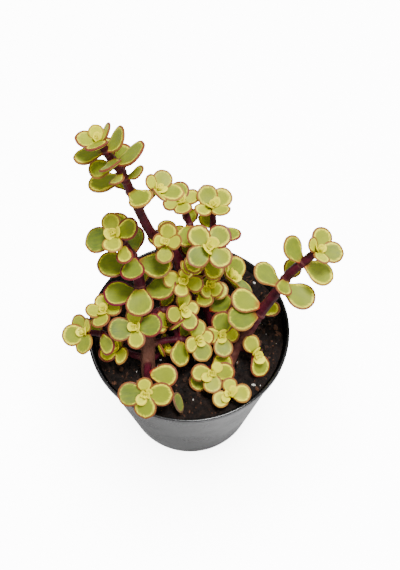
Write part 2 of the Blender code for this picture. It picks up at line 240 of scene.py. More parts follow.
def bump(tree, shader, height, strength, distance):
    node = addNode(
        tree,
        "ShaderNodeBump",
        {"Height": height, "Strength": strength, "Distance": distance * millimetre},
    )
    tree.links.new(node.outputs["Normal"], shader.inputs["Normal"])


def newGroup(name, inputs, outputs):
    group = bpy.data.node_groups.new(name, "ShaderNodeTree")
    for socketName, (kind, value) in inputs.items():
        socket = group.interface.new_socket(socketName, in_out="INPUT", socket_type=kind)
        if value is not None:
            socket.default_value = value
    for socketName, kind in outputs.items():
        group.interface.new_socket(socketName, in_out="OUTPUT", socket_type=kind)
    start = group.nodes.new("NodeGroupInput")
    end = group.nodes.new("NodeGroupOutput")
    return group, start.outputs, end.inputs


def placeGroup(tree, group, **inputs):
    node = tree.nodes.new("ShaderNodeGroup")
    node.node_tree = group
    for name, value in inputs.items():
        plug(tree, node.inputs[name], value)
    return node.outputs


def grainGroup():
    # Patch is slow mottling, Grain is fine mottling, Height is both for a bump
    contrast = 0.3, 0.7
    group, given, made = newGroup(
        "grain",
        {
            "Place": ("NodeSocketVector", None),
            "PatchScale": ("NodeSocketFloat", 150.0),
            "GrainScale": ("NodeSocketFloat", 1500.0),
            "GrainShare": ("NodeSocketFloat", 0.4),
        },
        {"Patch": "NodeSocketFloat", "Grain": "NodeSocketFloat", "Height": "NodeSocketFloat"},
    )
    patch = addNode(
        group,
        "ShaderNodeTexNoise",
        {"Vector": given["Place"], "Scale": given["PatchScale"], "Detail": 3.0},
    )
    grain = addNode(
        group,
        "ShaderNodeTexNoise",
        {"Vector": given["Place"], "Scale": given["GrainScale"], "Detail": 4.0, "Roughness": 0.6},
    )
    patchMask = fade(group, patch.outputs["Fac"], *contrast)
    grainMask = fade(group, grain.outputs["Fac"], *contrast)
    height = addNode(
        group,
        "ShaderNodeMix",
        {0: given["GrainShare"], 2: patchMask, 3: grainMask},
        data_type="FLOAT",
    )
    plug(group, made["Patch"], patchMask)
    plug(group, made["Grain"], grainMask)
    plug(group, made["Height"], height.outputs[0])
    return group


def bandGroup():
    # a mask that is 1 at an edge and fades out at Width, with an uneven border
    group, given, made = newGroup(
        "unevenBand",
        {
            "Distance": ("NodeSocketFloat", 0.0),
            "Width": ("NodeSocketFloat", 1.0),
            "Softness": ("NodeSocketFloat", 0.5),
            "Uneven": ("NodeSocketFloat", 0.3),
            "Noise": ("NodeSocketFloat", 0.5),
        },
        {"Mask": "NodeSocketFloat"},
    )
    shift = mathNode(group, "MULTIPLY_ADD", given["Noise"], 2.0, -1.0)
    pushed = mathNode(group, "MULTIPLY_ADD", shift, given["Uneven"], given["Distance"])
    inner = mathNode(group, "SUBTRACT", given["Width"], given["Softness"])
    plug(group, made["Mask"], fade(group, pushed, inner, given["Width"], 1.0, 0.0))
    return group


# leaves

# what the leaves of the nodes have in common, and how closely a leaf has to match it
cadLeaf = {
    "sides": 10,
    "thickness": 0.16,
    "bend": 0.06,
    "ringShare": math.sqrt(0.5),  # the ring next to a pole stands 45 degrees from it
    "mostUneven": 0.06,
    "mostDrop": 0.015,
    "sameBase": 0.5,
    "sameAhead": 0.9,
}

# shapes are shares of a leaf's length, turns are degrees and sinks are millimetres
leafLook = {
    "rings": 11,
    "spokes": 36,
    "width": 1.04,
    "widthRange": (0.95, 1.05),
    "thickness": 0.150,
    "taper": 0.20,
    "pinch": 0.22,
    "pinchEnd": 0.30,
    "edge": 3.4,
    "fullness": 0.50,
    "lopsided": 0.05,
    "skew": 0.06,
    "cup": 0.070,
    "cupRange": (0.7, 1.4),
    "bend": 0.070,
    "wave": 0.010,
    "waves": 3,
    "point": 0.022,
    "pointRange": (0.2, 1.6),
    "pointAngle": 0.2,
    "twist": 7,
    "nod": 4,
    "swing": 3,
    "sizeRange": (0.92, 1.08),
    "noseStart": 0.45,
    "sinkShare": 0.92,
    "tipSink": 1.9,
    "loneSink": 1.6,
    "oldLength": 11.5,
    "youngLength": 6.0,
    "tipYouth": 0.9,
    "pairYouth": 0.35,
    "youthRedLoss": 0.9,
    "marginLength": 9,  # a shorter leaf has narrower margins
    "grainShift": 50,
}

# the tight pairs at a shoot's tip
innerLook = {
    "pairs": ((1.0, 38, 0.0), (0.68, 24, 0.9), (0.42, 12, 1.7)),  # size, lean, lift
    "turnSpread": 8,
    "leanSpread": 4,
    "offAxis": 0.35,
    "sinkDown": 0.9,
    "sinkIn": 0.3,
    "sizeShare": 0.55,
    "leastLeaf": 7,
    "lift": 0.6,
}

leafPaint = {
    "shade": (0.064, 0.098, 0.020),
    "green": (0.104, 0.150, 0.012),
    "lime": (0.262, 0.292, 0.010),
    "limeByLeaf": 0.75,
    "limeByPatch": 0.25,
    # under: the undersides' colour, partly their own paler green and partly painted bounce light from the
    # floor below
    "under": (0.300, 0.330, 0.036),
    "underPaleAndBounceShare": 0.75,
    "young": (0.820, 0.800, 0.012),
    "youngShare": 0.75,
    "cream": (1.000, 0.870, 0.018),
    "creamShare": 0.88,
    "creamWidth": 1.8,
    "creamWidthSpread": 0.9,
    "creamBorder": (1.9, 0.75),  # softness and unevenness
    "red": (0.110, 0.001, 0.014),
    "redShare": 0.78,
    "redShareSpread": 0.22,
    "redWidth": 1.15,
    "redWidthSpread": 0.22,
    "redBorder": (0.28, 0.22),
    "youngRed": 0.25,
    "blush": (0.600, 0.075, 0.080),
    "blushShare": 0.42,
    "blushWidth": 0.95,
    "blushBorder": (0.7, 0.25),
    "root": (0.250, 0.001, 0.010),
    "rootShare": 0.9,
    "rootYoungLoss": 0.75,
    "rootFade": (0.02, 0.22),
    "rootUneven": 0.05,
    "speckShare": 0.16,
    "dull": (0.10, 0.13, 0.06),
    "fallenDullness": 0.45,
    "rough": 0.40,
    "roughDull": 0.2,
    "roughPatch": 0.10,
    "roughGrain": 0.06,
    "bumpStrength": 0.35,
    "bumpDepth": 0.05,
}


def leafFromRing(pole, ring):
    # the leaf that a pole and its ring of corners belong to, or None
    sides = len(ring)
    half = sides // 2

    def corner(index):
        return ring[index % sides]

    def unevenness(start):
        # how far the ring is from being its own mirror image about the gap after start
        reach = range(half - 1)
        left = [np.linalg.norm(corner(start + 2 + step) - corner(start)) for step in reach]
        right = [np.linalg.norm(corner(start - 1 - step) - corner(start + 1)) for step in reach]
        return float(np.abs(np.subtract(left, right)).sum())

    def gap(start):
        return np.linalg.norm(corner(start + 1) - corner(start))

    tip = min(range(half), key=unevenness)
    if gap(tip + half) > gap(tip):
        tip += half
    front = (corner(tip) + corner(tip + 1)) / 2
    back = (corner(tip + half) + corner(tip + half + 1)) / 2
    reach = cadLeaf["ringShare"] * math.cos(math.pi / sides)
    length = np.linalg.norm(front - back) / reach
    if unevenness(tip) > cadLeaf["mostUneven"] * length:
        return None
    ahead = unit(front - back)
    across = corner(tip + 2) - corner(tip - 1) + corner(tip + 3) - corner(tip - 2)
    outward = unit(np.cross(ahead, across))
    middle = (front + back) / 2
    drop = np.dot(middle - pole, outward) / length
    rise = cadLeaf["bend"] * reach ** 2
    poleRise = cadLeaf["thickness"] / 2
    ringRise = poleRise * cadLeaf["ringShare"]
    isTop = drop > -poleRise / 4
    expected = ringRise + rise - poleRise if isTop else ringRise - rise - poleRise
    if abs(drop - expected) > cadLeaf["mostDrop"]:
        return None
    upward = outward if isTop else -outward
    height = rise + (ringRise if isTop else -ringRise)
    base = middle - ahead * length / 2 - upward * height * length
    return {"base": base, "ahead": ahead, "upward": upward, "length": length}


def leavesOf(name):
    corners, faces = cadMesh(name)
    fans = {}
    for face in faces:
        for turn in range(3):
            fan = fans.setdefault(face[turn], {})
            fan[face[(turn + 1) % 3]] = face[(turn + 2) % 3]
    leaves = []
    for pole, fan in sorted(fans.items()):
        if len(fan) != cadLeaf["sides"]:
            continue
        ring = [min(fan)]
        while len(ring) < len(fan) and fan.get(ring[-1]) in fan:
            ring.append(fan[ring[-1]])
        if len(set(ring)) != len(fan):
            continue
        leaf = leafFromRing(corners[pole], corners[ring])
        if leaf is None:
            continue
        if all(np.linalg.norm(leaf["base"] - other["base"]) > cadLeaf["sameBase"]
               or np.dot(leaf["ahead"], other["ahead"]) < cadLeaf["sameAhead"] for other in leaves):
            leaves.append(leaf)
    return leaves


def leafGrid():
    # a closed disc of two faces that share their rim: radius, angle and side of each corner
    rings, spokes = leafLook["rings"], leafLook["spokes"]
    radii = np.sin(np.arange(1, rings + 1) / rings * math.pi / 2)
    angles = np.arange(spokes) / spokes * math.tau
    topRadius = np.concatenate([[0], np.repeat(radii, spokes)])
    topAngle = np.concatenate([[0], np.tile(angles, rings)])
    lowRadius = np.concatenate([[0], np.repeat(radii[:-1], spokes)])
    lowAngle = np.concatenate([[0], np.tile(angles, rings - 1)])
    lowStart = 1 + rings * spokes

    def corner(ring, spoke, low):
        spoke %= spokes
        if low and ring < rings - 1:
            return lowStart + 1 + ring * spokes + spoke
        return 1 + ring * spokes + spoke

    faces = []
    for low in (False, True):
        centre = lowStart if low else 0
        for spoke in range(spokes):
            made = [(centre, corner(0, spoke, low), corner(0, spoke + 1, low))]
            for ring in range(rings - 1):
                made.append((
                    corner(ring, spoke, low),
                    corner(ring + 1, spoke, low),
                    corner(ring + 1, spoke + 1, low),
                    corner(ring, spoke + 1, low),
                ))
            faces += [face[::-1] for face in made] if low else made
    radius = np.concatenate([topRadius, lowRadius])
    angle = np.concatenate([topAngle, lowAngle])
    side = np.concatenate([np.ones(len(topRadius)), -np.ones(len(lowRadius))])
    return radius, angle, side, faces


def settleLeaf(leaf, chance):
    # a leaf never sits quite square on its stem: a small twist, nod and swing about its base
    look = leafLook
    sideways = Vector(np.cross(leaf["upward"], leaf["ahead"]))
    twist = Matrix.Rotation(math.radians(chance.gauss(0, look["twist"])), 3, Vector(leaf["ahead"]))
    nod = Matrix.Rotation(math.radians(chance.gauss(0, look["nod"])), 3, sideways)
    swing = Matrix.Rotation(math.radians(chance.gauss(0, look["swing"])), 3, Vector(leaf["upward"]))
    turn = np.array(swing @ nod @ twist)
    leaf["ahead"] = turn @ leaf["ahead"]
    leaf["upward"] = turn @ leaf["upward"]


def shapeLeaf(leaf, grid, chance):
    # corners of one leaf, and how far along its length and off its middle line each one is
    radius, angle, side, _ = grid
    look = leafLook
    settleLeaf(leaf, chance)
    length = leaf["length"]
    along = (radius * np.cos(angle) + 1) / 2
    off = radius * np.sin(angle)
    off = off * (1 - look["taper"] * (1 - along))
    off = off * (1 - look["pinch"] * smoothStep(look["pinchEnd"], 0, along))
    off = off + either(chance, look["lopsided"]) * (radius ** 2 - along ** 2)
    skew = either(chance, look["skew"])
    width = look["width"] * chance.uniform(*look["widthRange"])
    pointed = look["point"] * chance.uniform(*look["pointRange"])
    turned = (angle + math.pi) % math.tau - math.pi
    forward = along + pointed * np.exp(-(turned / look["pointAngle"]) ** 2) * radius ** 6
    plump = np.maximum(1 - radius ** look["edge"], 0) ** look["fullness"]
    wave = look["wave"] * np.sin(look["waves"] * angle + chance.uniform(0, math.tau)) * radius ** 3
    rise = (
        look["thickness"] / 2 * side * plump
        + look["cup"] * chance.uniform(*look["cupRange"]) * off ** 2
        + look["bend"] * (2 * along - 1) ** 2
        + wave
        + skew * off * along
    )
    sideways = np.cross(leaf["upward"], leaf["ahead"])
    corners = (
        leaf["base"]
        + np.outer(forward * length, leaf["ahead"])
        + np.outer(off * length * width / 2, sideways)
        + np.outer(rise * length, leaf["upward"])
    )
    nose = smoothStep(1 - look["noseStart"] / 2, 1, 1 - along)
    return corners + np.outer(nose, leaf["sink"]), along, off


def edgeDistance(corners, grid):
    # way over the leaf's skin from each corner to the rim
    rings, spokes = leafLook["rings"], leafLook["spokes"]
    count = len(corners)
    found = np.zeros(count)
    lowStart = 1 + rings * spokes
    topRings = corners[1:lowStart].reshape(rings, spokes, 3)
    lowRings = np.concatenate([corners[lowStart + 1:].reshape(rings - 1, spokes, 3), topRings[-1:]])
    for centre, first, stack, shown in (
        (0, 1, topRings, rings),
        (lowStart, lowStart + 1, lowRings, rings - 1),
    ):
        steps = np.linalg.norm(np.diff(stack, axis=0), axis=2)
        reach = np.zeros((rings, spokes))
        reach[:-1] = np.cumsum(steps[::-1], axis=0)[::-1]
        found[first:first + shown * spokes] = reach[:shown].ravel()
        found[centre] = reach[0].mean() + np.linalg.norm(stack[0] - corners[centre], axis=1).mean()
    return found


def youngLeaves(centre, axis, sideways, chance, size):
    # each of the tight pairs is turned a quarter from the last
    look = innerLook
    made = []
    for order, (share, lean, lift) in enumerate(look["pairs"]):
        quarter = math.radians(90 * order + either(chance, look["turnSpread"]))
        turn = Matrix.Rotation(quarter, 3, Vector(axis))
        outward = np.array(turn @ Vector(sideways))
        for sign in (1, -1):
            angle = math.radians(lean + either(chance, look["leanSpread"]))
            made.append({
                "base": centre + axis * lift + outward * sign * look["offAxis"],
                "ahead": axis * math.cos(angle) + outward * sign * math.sin(angle),
                "upward": axis * math.sin(angle) - outward * sign * math.cos(angle),
                "length": size * share * chance.uniform(*leafLook["sizeRange"]),
                "youth": 1.0,
                "sink": -axis * look["sinkDown"] - outward * sign * look["sinkIn"],
            })
    return made


def leavesPiece(name, leaves, material, grid, chance):
    # one mesh of all the leaves given, with what the paint needs to know of each
    look = leafLook
    corners, faces, values = [], [], {}
    for number, leaf in enumerate(leaves):
        points, along, off = shapeLeaf(leaf, grid, chance)
        faces += [tuple(index + number * len(points) for index in face) for face in grid[3]]
        corners.append(points)
        tone, red = chance.random(), chance.random()
        flat = np.ones(len(points))
        seed = chance.uniform(0, look["grainShift"])
        narrowing = max(1, look["marginLength"] / leaf["length"])
        for key, value in (
            ("leafEdge", edgeDistance(points, grid) * narrowing),
            ("leafAlong", along),
            ("leafUnder", (1 - grid[2]) / 2),
            ("leafTone", flat * tone),
            ("leafRed", flat * red * (1 - look["youthRedLoss"] * leaf["youth"])),
            ("leafYouth", flat * leaf["youth"]),
            ("leafPlace", np.stack([along + seed, off, flat * seed], axis=1)),
        ):
            values.setdefault(key, []).append(value)
    piece = makePiece(name, np.concatenate(corners), faces, material)
    for key, parts in values.items():
        give = giveVectors if key == "leafPlace" else giveValues
        give(piece, key, np.concatenate(parts))
    return piece


def youthOf(length):
    look = leafLook
    shortness = (look["oldLength"] - length) / (look["oldLength"] - look["youngLength"])
    return min(max(shortness, 0), 1)


def leafPiece(name, material, grid, order):
    look = leafLook
    chance = random.Random(4100 + order)
    leaves = leavesOf(name)
    middle = np.mean([leaf["base"] for leaf in leaves], axis=0)
    isTip = name.endswith("_tip")
    for leaf in leaves:
        leaf["youth"] = youthOf(leaf["length"]) * look["tipYouth" if isTip else "pairYouth"]
        leaf["sink"] = (middle - leaf["base"]) * look["sinkShare"]
        if len(leaves) == 1:
            leaf["sink"] = -leaf["ahead"] * look["loneSink"]
    if isTip:
        axis = unit(sum(leaf["ahead"] + leaf["upward"] for leaf in leaves))
        biggest = max(leaves, key=lambda leaf: leaf["length"])
        sideways = unit(biggest["ahead"] - axis * np.dot(biggest["ahead"], axis))
        for leaf in leaves:
            leaf["sink"] = leaf["sink"] - axis * look["tipSink"]
        smallest = min(leaf["length"] for leaf in leaves)
        size = innerLook["sizeShare"] * max(smallest, innerLook["leastLeaf"])
        leaves += youngLeaves(middle + axis * innerLook["lift"], axis, sideways, chance, size)
    if name == "leaf_fallen":
        leaves[0]["sink"] = np.zeros(3)
    piece = leavesPiece(name + "_look", leaves, material, grid, chance)
    return putOnRoot(piece, "leaf", name)


# short side sprigs between the main shoots: foot in a stem, tip, and the pairs' lengths from the tip
sideSprigs = {
    "sprig_tall_inner": ((-8.5, 12.0, 141), (-9.5, 8.5, 151), (8, 9.5)),
    "sprig_tall_right": ((-3.5, 10.0, 131), (1.5, 9.0, 135), (7, 8)),
    "sprig_tall_front": ((-2, 7.5, 119), (-2.0, 3.0, 126), (8, 9)),
    "sprig_tall_low": ((-0.5, 4.5, 114), (1.0, 9.5, 120), (8, 9.5)),
    "sprig_back_front": ((8.2, 14.0, 105), (10.5, 9.5, 112), (8, 9.5)),
    "sprig_crossing_low": ((-5, -14.0, 99), (-8.0, -9.0, 105), (9, 10)),
    "sprig_trunk_foot": ((-19.5, -19.0, 86.5), (-13, -15.5, 90), (8, 9)),
}

sprigLook = {
    "footRadius": 1.35,
    "tipRadius": 0.95,
    "sides": 20,
    "steps": 24,
    "bow": 0.14,
    "jointSwell": 0.10,
    "jointWaves": 2.5,
    "jointNarrowness": 6,
    "pairGap": 1.7,
    "offAxis": 1.1,
    "sinkDown": 0.5,
    "innerLean": 52,
    "outerLean": 70,
    "leanSpread": 9,
    "youth": 0.8,
    "innerLift": 0.8,
    "innerShare": 0.5,
    "turns": 12,
    "room": 2.0,
    "probes": ((0.35, 0), (0.6, 0.35), (0.6, -0.35), (0.95, 0)),  # along and off, in lengths
}


def sprigLine(foot, tip):
    # centre line that leaves the stem sideways and then turns up
    look = sprigLook
    foot, tip = np.array(foot, float), np.array(tip, float)
    sag = np.array([0, 0, -1.0]) * look["bow"] * np.linalg.norm(tip - foot)
    shares = np.linspace(0, 1, look["steps"])[:, None]
    return foot + (tip - foot) * shares + sag * 4 * shares * (1 - shares) * (1 - shares)


def sprigTwig(name, line, material):
    look = sprigLook
    corners = []
    sides = look["sides"]
    ahead = np.gradient(line, axis=0)
    across = unit(np.cross(ahead[0], (0.3, 0.2, 1.0)))
    for step, centre in enumerate(line):
        along = unit(ahead[step])
        across = unit(across - along * np.dot(across, along))
        third = np.cross(along, across)
        share = step / (len(line) - 1)
        radius = look["footRadius"] + (look["tipRadius"] - look["footRadius"]) * share
        wave = math.cos(share * math.tau * look["jointWaves"]) ** look["jointNarrowness"]
        radius *= 1 + look["jointSwell"] * wave
        for side in range(sides):
            angle = math.tau * side / sides
            corners.append(centre + radius * (across * math.cos(angle) + third * math.sin(angle)))
    corners += [line[0], line[-1] + unit(ahead[-1]) * look["tipRadius"]]
    piece = makePiece(name + "_twig", corners, tubeFaces(len(line), sides), material)
    giveValues(piece, "stemAge", np.zeros(len(corners)))
    giveValues(piece, "stemScar", np.zeros(len(corners)))
    return putOnRoot(piece, "stem")


def sprigLeaves(line, sizes, turn, chance):
    look = sprigLook
    axis = unit(line[-1] - line[-4])
    across = unit(np.cross(axis, (0.2, 1.0, 0.1)))
    leaves = []
    for order, size in enumerate(sizes):
        spin = Matrix.Rotation(turn + math.radians(90 * order), 3, Vector(axis))
        outward = np.array(spin @ Vector(across))
        share = order / max(len(sizes) - 1, 1)
        lean = look["innerLean"] + (look["outerLean"] - look["innerLean"]) * share
        for sign in (1, -1):
            angle = math.radians(lean + either(chance, look["leanSpread"]))
            side = outward * sign
            leaves.append({
                "base": line[-1] - axis * look["pairGap"] * order + side * look["offAxis"],
                "ahead": axis * math.cos(angle) + side * math.sin(angle),
                "upward": axis * math.sin(angle) - side * math.cos(angle),
                "length": size * chance.uniform(*leafLook["sizeRange"]),
                "youth": youthOf(size) * look["youth"],
                "sink": -side * look["offAxis"] - axis * look["sinkDown"],
            })
    middle = line[-1] + axis * look["innerLift"]
    return leaves + youngLeaves(middle, axis, across, chance, look["innerShare"] * sizes[0])


def crowding(leaves, others):
    # how badly the leaves crowd what is already there: 0 is clear
    total = 0
    for leaf in leaves:
        sideways = np.cross(leaf["upward"], leaf["ahead"])
        for share, off in sprigLook["probes"]:
            spot = leaf["base"] + leaf["length"] * (share * leaf["ahead"] + off * sideways)
            distance = others.find_nearest(Vector(spot))[3]
            total += max(0, sprigLook["room"] - distance)
    return total


def growSprigs(leafSkin, stemSkin, grid):
    corners, faces, count = [], [], 0
    for name in nodesCalled(("lea", "stem")):
        points, triangles = cadMesh(name)
        corners.append(points)
        faces.append(triangles + count)
        count += len(points)
    others = BVHTree.FromPolygons(np.concatenate(corners).tolist(), np.concatenate(faces).tolist())
    for order, (name, (foot, tip, sizes)) in enumerate(sideSprigs.items()):
        line = sprigLine(foot, tip)
        turns = [math.tau / 2 * step / sprigLook["turns"] for step in range(sprigLook["turns"])]
        tries = [sprigLeaves(line, sizes, turn, random.Random(700 + order)) for turn in turns]
        leaves = min(tries, key=lambda made: crowding(made, others))
        sprigTwig(name, line, stemSkin)
        piece = leavesPiece(name + "_leaves", leaves, leafSkin, grid, random.Random(800 + order))
        putOnRoot(piece, "leaf")


def leafMaterial(name, grain, band, dullness):
    paint = leafPaint
    material, tree, shader = newMaterial(
        name,
        Subsurface_Weight=0.10,
        Subsurface_Radius=(1.0, 0.9, 0.25),
        Subsurface_Scale=0.0015,
        Specular_IOR_Level=0.16,
    )
    place = objectPlace(tree)
    skin = placeGroup(tree, grain, Place=place, PatchScale=230.0, GrainScale=2600.0, GrainShare=0.55)
    streakPlace = stretched(tree, readVector(tree, "leafPlace"), (3.0, 9.0, 3.0))
    streak = placeGroup(tree, grain, Place=streakPlace, PatchScale=1.0, GrainScale=3.5, GrainShare=0.5)
    edge, youth = readValue(tree, "leafEdge"), readValue(tree, "leafYouth")
    tone, redness = readValue(tree, "leafTone"), readValue(tree, "leafRed")
    along, under = readValue(tree, "leafAlong"), readValue(tree, "leafUnder")

    def margin(width, border, raggedness):
        softness, uneven = border
        return placeGroup(
            tree, band, Distance=edge, Width=width, Softness=softness, Uneven=uneven, Noise=raggedness
        )["Mask"]

    green = mixColour(tree, streak["Patch"], paint["shade"], paint["green"])
    green = layer(tree, green, paint["lime"], tone, paint["limeByLeaf"])
    green = layer(tree, green, paint["lime"], skin["Patch"], paint["limeByPatch"])
    # paler undersides: partly the leaf's own paler green, partly painted bounce light from below
    green = layer(tree, green, paint["under"], under, paint["underPaleAndBounceShare"])
    colour = layer(tree, green, paint["young"], youth, paint["youngShare"])
    creamWidth = mathNode(tree, "MULTIPLY_ADD", tone, paint["creamWidthSpread"], paint["creamWidth"])
    creamMask = margin(creamWidth, paint["creamBorder"], streak["Height"])
    colour = layer(tree, colour, paint["cream"], creamMask, paint["creamShare"])
    redShare = mathNode(tree, "MULTIPLY_ADD", redness, paint["redShareSpread"], paint["redShare"])
    redShare = mathNode(tree, "MULTIPLY", redShare, fade(tree, youth, 0.6, 1.0, 1.0, paint["youngRed"]))
    blushMask = margin(paint["blushWidth"], paint["blushBorder"], skin["Height"])
    colour = layer(tree, colour, paint["blush"], redShare, paint["blushShare"], blushMask)
    redWidth = mathNode(tree, "MULTIPLY_ADD", redness, paint["redWidthSpread"], paint["redWidth"])
    redMask = margin(redWidth, paint["redBorder"], streak["Grain"])
    colour = layer(tree, colour, paint["red"], redMask, redShare)
    rootEdge = mathNode(tree, "MULTIPLY_ADD", skin["Patch"], paint["rootUneven"], along)
    rootMask = fade(tree, rootEdge, *paint["rootFade"], 1.0, 0.0)
    rootShare = mathNode(tree, "MULTIPLY_ADD", youth, -paint["rootYoungLoss"], paint["rootShare"])
    colour = layer(tree, colour, paint["root"], rootMask, rootShare)
    speck = fade(tree, skin["Grain"], 0.35, 0.0, 0.0, paint["speckShare"])
    colour = layer(tree, colour, paint["shade"], speck)
    if dullness:
        colour = layer(tree, colour, paint["dull"], dullness)
    rough = paint["rough"] + paint["roughDull"] * dullness
    masks = (skin["Patch"], paint["roughPatch"]), (skin["Grain"], paint["roughGrain"])
    finishShader(tree, shader, colour, rough, *masks)
    bump(tree, shader, skin["Height"], paint["bumpStrength"], paint["bumpDepth"])
    return material


# stems

stemLook = {
    "voxel": 0.34,
    "smoothing": 7,
    "grow": 0.16,
    "jointSwell": 0.45,
    "jointReach": 1.1,
    "jointFar": 4,
    "scarAt": 1.25,
    "scarWidth": 0.35,
    "scarDepth": 0.12,
    "wrinkle": 0.07,
    "wrinkleSize": 1.6,
    "fineWrinkle": 0.5,
    "fineWrinkleSize": 0.6,
    "twigGirth": 3.3,
    "trunkGirth": 6.0,
    "girthSpread": 260,
    "borderLumps": 3,
    "borderLumpSize": 6,
}

# how brown a stem's foot is, and the heights over the soil where that fades
plainAge = (0.15, 2, 12)
stemAge = {
    "stem_left": (1.0, 16, 34),
    "stem_right": (0.55, 10, 36),
    "stem_tall": (0.35, 5, 22),
}

stemPaint = {
    "maroon": (0.028, 0.002, 0.006),
    "wine": (0.060, 0.004, 0.012),
    "bark": (0.080, 0.028, 0.018),
    "paleBark": (0.140, 0.063, 0.042),
    "barkFade": (0.2, 1.05),
    "barkUneven": 0.25,
    "scar": (0.120, 0.045, 0.034),
    "scarShare": 0.55,
    "poreShare": 0.35,
    "rough": 0.36,
    "roughBark": 0.30,
    "roughPatch": 0.12,
    "bumpStrength": 0.5,
    "bumpDepth": 0.10,
}


def softMesh(name):
    # the node's solid with its steps and corners worn away
    scratch = bpy.data.objects.new("stemScratch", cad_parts[name].data.copy())
    bpy.context.scene.collection.objects.link(scratch)
    weld = scratch.modifiers.new("weld", "WELD")
    weld.merge_threshold = 1e-5
    remesh = scratch.modifiers.new("remesh", "REMESH")
    remesh.mode = "VOXEL"
    remesh.voxel_size = stemLook["voxel"] * millimetre
    soften = scratch.modifiers.new("soften", "SMOOTH")
    soften.factor = 0.5
    soften.iterations = stemLook["smoothing"]
    graph = bpy.context.evaluated_depsgraph_get()
    mesh = bpy.data.meshes.new_from_object(scratch.evaluated_get(graph))
    bpy.data.objects.remove(scratch)
    return mesh


def spread(values, mesh, rounds):
    # evens out a value over the mesh, each corner moving halfway to the mean of its neighbours
    ends = np.empty(len(mesh.edges) * 2, np.int32)
    mesh.edges.foreach_get("vertices", ends)
    first, second = ends.reshape(-1, 2).T
    count = np.bincount(ends, minlength=len(values))
    for _ in range(rounds):
        total = np.bincount(first, values[second], len(values))
        total += np.bincount(second, values[first], len(values))
        values = 0.5 * values + 0.5 * total / np.maximum(count, 1)
    return values


def jointMarks(corners, joints):
    # how far each corner swells out at a leaf joint, and how deep it is in a leaf scar's ring
    look = stemLook
    swell = np.zeros(len(corners))
    scar = np.zeros(len(corners))
    for joint in joints:
        distance = np.linalg.norm(corners - joint, axis=1)
        nearest = distance.min()
        if nearest > look["jointFar"]:
            continue
        up = np.sqrt(np.maximum(distance ** 2 - nearest ** 2, 0))
        near = distance < nearest + look["jointFar"]
        swell = np.maximum(swell, near * np.exp(-(up / look["jointReach"]) ** 2))
        ring = np.exp(-((up - look["scarAt"]) / look["scarWidth"]) ** 2)
        scar = np.maximum(scar, near * ring)
    return swell, scar


def girthAt(corners, normals, faces):
    # how thick the stem is under each corner
    inside = BVHTree.FromPolygons(corners.tolist(), faces)
    return np.array([
        inside.ray_cast(Vector(corner - 0.05 * normal), Vector(-normal))[3] or 0
        for corner, normal in zip(corners, normals)
    ])


def stemPiece(name, joints, material, soilTop):
    look = stemLook
    mesh = softMesh(name)
    corners = readVectors(mesh.vertices, "co") / millimetre
    normals = readVectors(mesh.vertex_normals, "vector")
    faces = [tuple(face.vertices) for face in mesh.polygons]
    swell, scar = jointMarks(corners, joints)
    wrinkles = noiseAt(corners, look["wrinkleSize"], 3)
    wrinkles = wrinkles + look["fineWrinkle"] * noiseAt(corners, look["fineWrinkleSize"], 5)
    lift = look["grow"] + look["jointSwell"] * swell
    lift = lift - look["scarDepth"] * scar + look["wrinkle"] * wrinkles
    thick = smoothStep(look["twigGirth"], look["trunkGirth"], girthAt(corners, normals, faces))
    age, fadeStart, fadeEnd = stemAge.get(name, plainAge)
    age = age * spread(thick, mesh, look["girthSpread"])
    bpy.data.meshes.remove(mesh)
    border = look["borderLumps"] * noiseAt(corners, look["borderLumpSize"], 9)
    height = corners[:, 2] - soilTop + border
    piece = makePiece(name + "_look", corners + normals * lift[:, None], faces, material)
    giveValues(piece, "stemAge", age * smoothStep(fadeEnd, fadeStart, height))
    giveValues(piece, "stemScar", scar)
    return putOnRoot(piece, "stem", name)


def stemMaterial(grain):
    paint = stemPaint
    material, tree, shader = newMaterial("stemSkin", Specular_IOR_Level=0.12)
    place = objectPlace(tree)
    skin = placeGroup(tree, grain, Place=place, PatchScale=260.0, GrainScale=2400.0, GrainShare=0.5)
    longPlace = stretched(tree, place, (1.0, 1.0, 0.25))
    fibre = placeGroup(tree, grain, Place=longPlace, PatchScale=900.0, GrainScale=3200.0, GrainShare=0.6)
    young = mixColour(tree, skin["Patch"], paint["maroon"], paint["wine"])
    old = mixColour(tree, fibre["Height"], paint["bark"], paint["paleBark"])
    age = mathNode(tree, "MULTIPLY_ADD", skin["Patch"], paint["barkUneven"], readValue(tree, "stemAge"))
    age = fade(tree, age, *paint["barkFade"])
    colour = layer(tree, young, old, age)
    colour = layer(tree, colour, paint["scar"], readValue(tree, "stemScar"), paint["scarShare"])
    pores = fade(tree, skin["Grain"], 0.82, 1.0, 0.0, paint["poreShare"])
    colour = layer(tree, colour, paint["scar"], pores)
    masks = (age, paint["roughBark"]), (skin["Patch"], paint["roughPatch"])
    finishShader(tree, shader, colour, paint["rough"], *masks)
    bump(tree, shader, fibre["Height"], paint["bumpStrength"], paint["bumpDepth"])
    return material


# pot

potLook = {
    "segments": 160,
    "wall": 0.9,
    "floor": 1.6,
    "lipHeight": 3.0,
    "lipOverhang": 0.9,
    "lipRound": 0.55,
    "lipStart": (0.15, 0.05),  # out from the wall, up from the lip's start
    "lipCorner": ((0.18, 0.1), (0.04, 0.28)),  # in from the rim, up from the lip's start
    "footChamfer": 1.5,
    "baseShare": 36 / 52.5,
    "baseTread": (9, 8),  # how far in from the foot the tread ends: over it, on it
    "baseRise": 0.6,
    "outerRows": 24,
    "innerRows": 8,
    "holes": 6,
    "holeRadius": 4,
    "holeCircle": 25,
    "holeDepth": 8,
    "holeSides": 40,
    "holeTurn": 2.1,  # keeps the cutters' corners off the pot's own edges
    "sharpAngle": 38,
}

potPaint = {
    "black": (0.008, 0.008, 0.009),
    "worn": (0.018, 0.018, 0.019),
    "dust": (0.060, 0.056, 0.052),
    "dustShare": 0.15,
    "rough": 0.15,
    "roughPatch": 0.10,
    "roughGrain": 0.06,
    "bumpStrength": 0.10,
    "bumpDepth": 0.05,
}


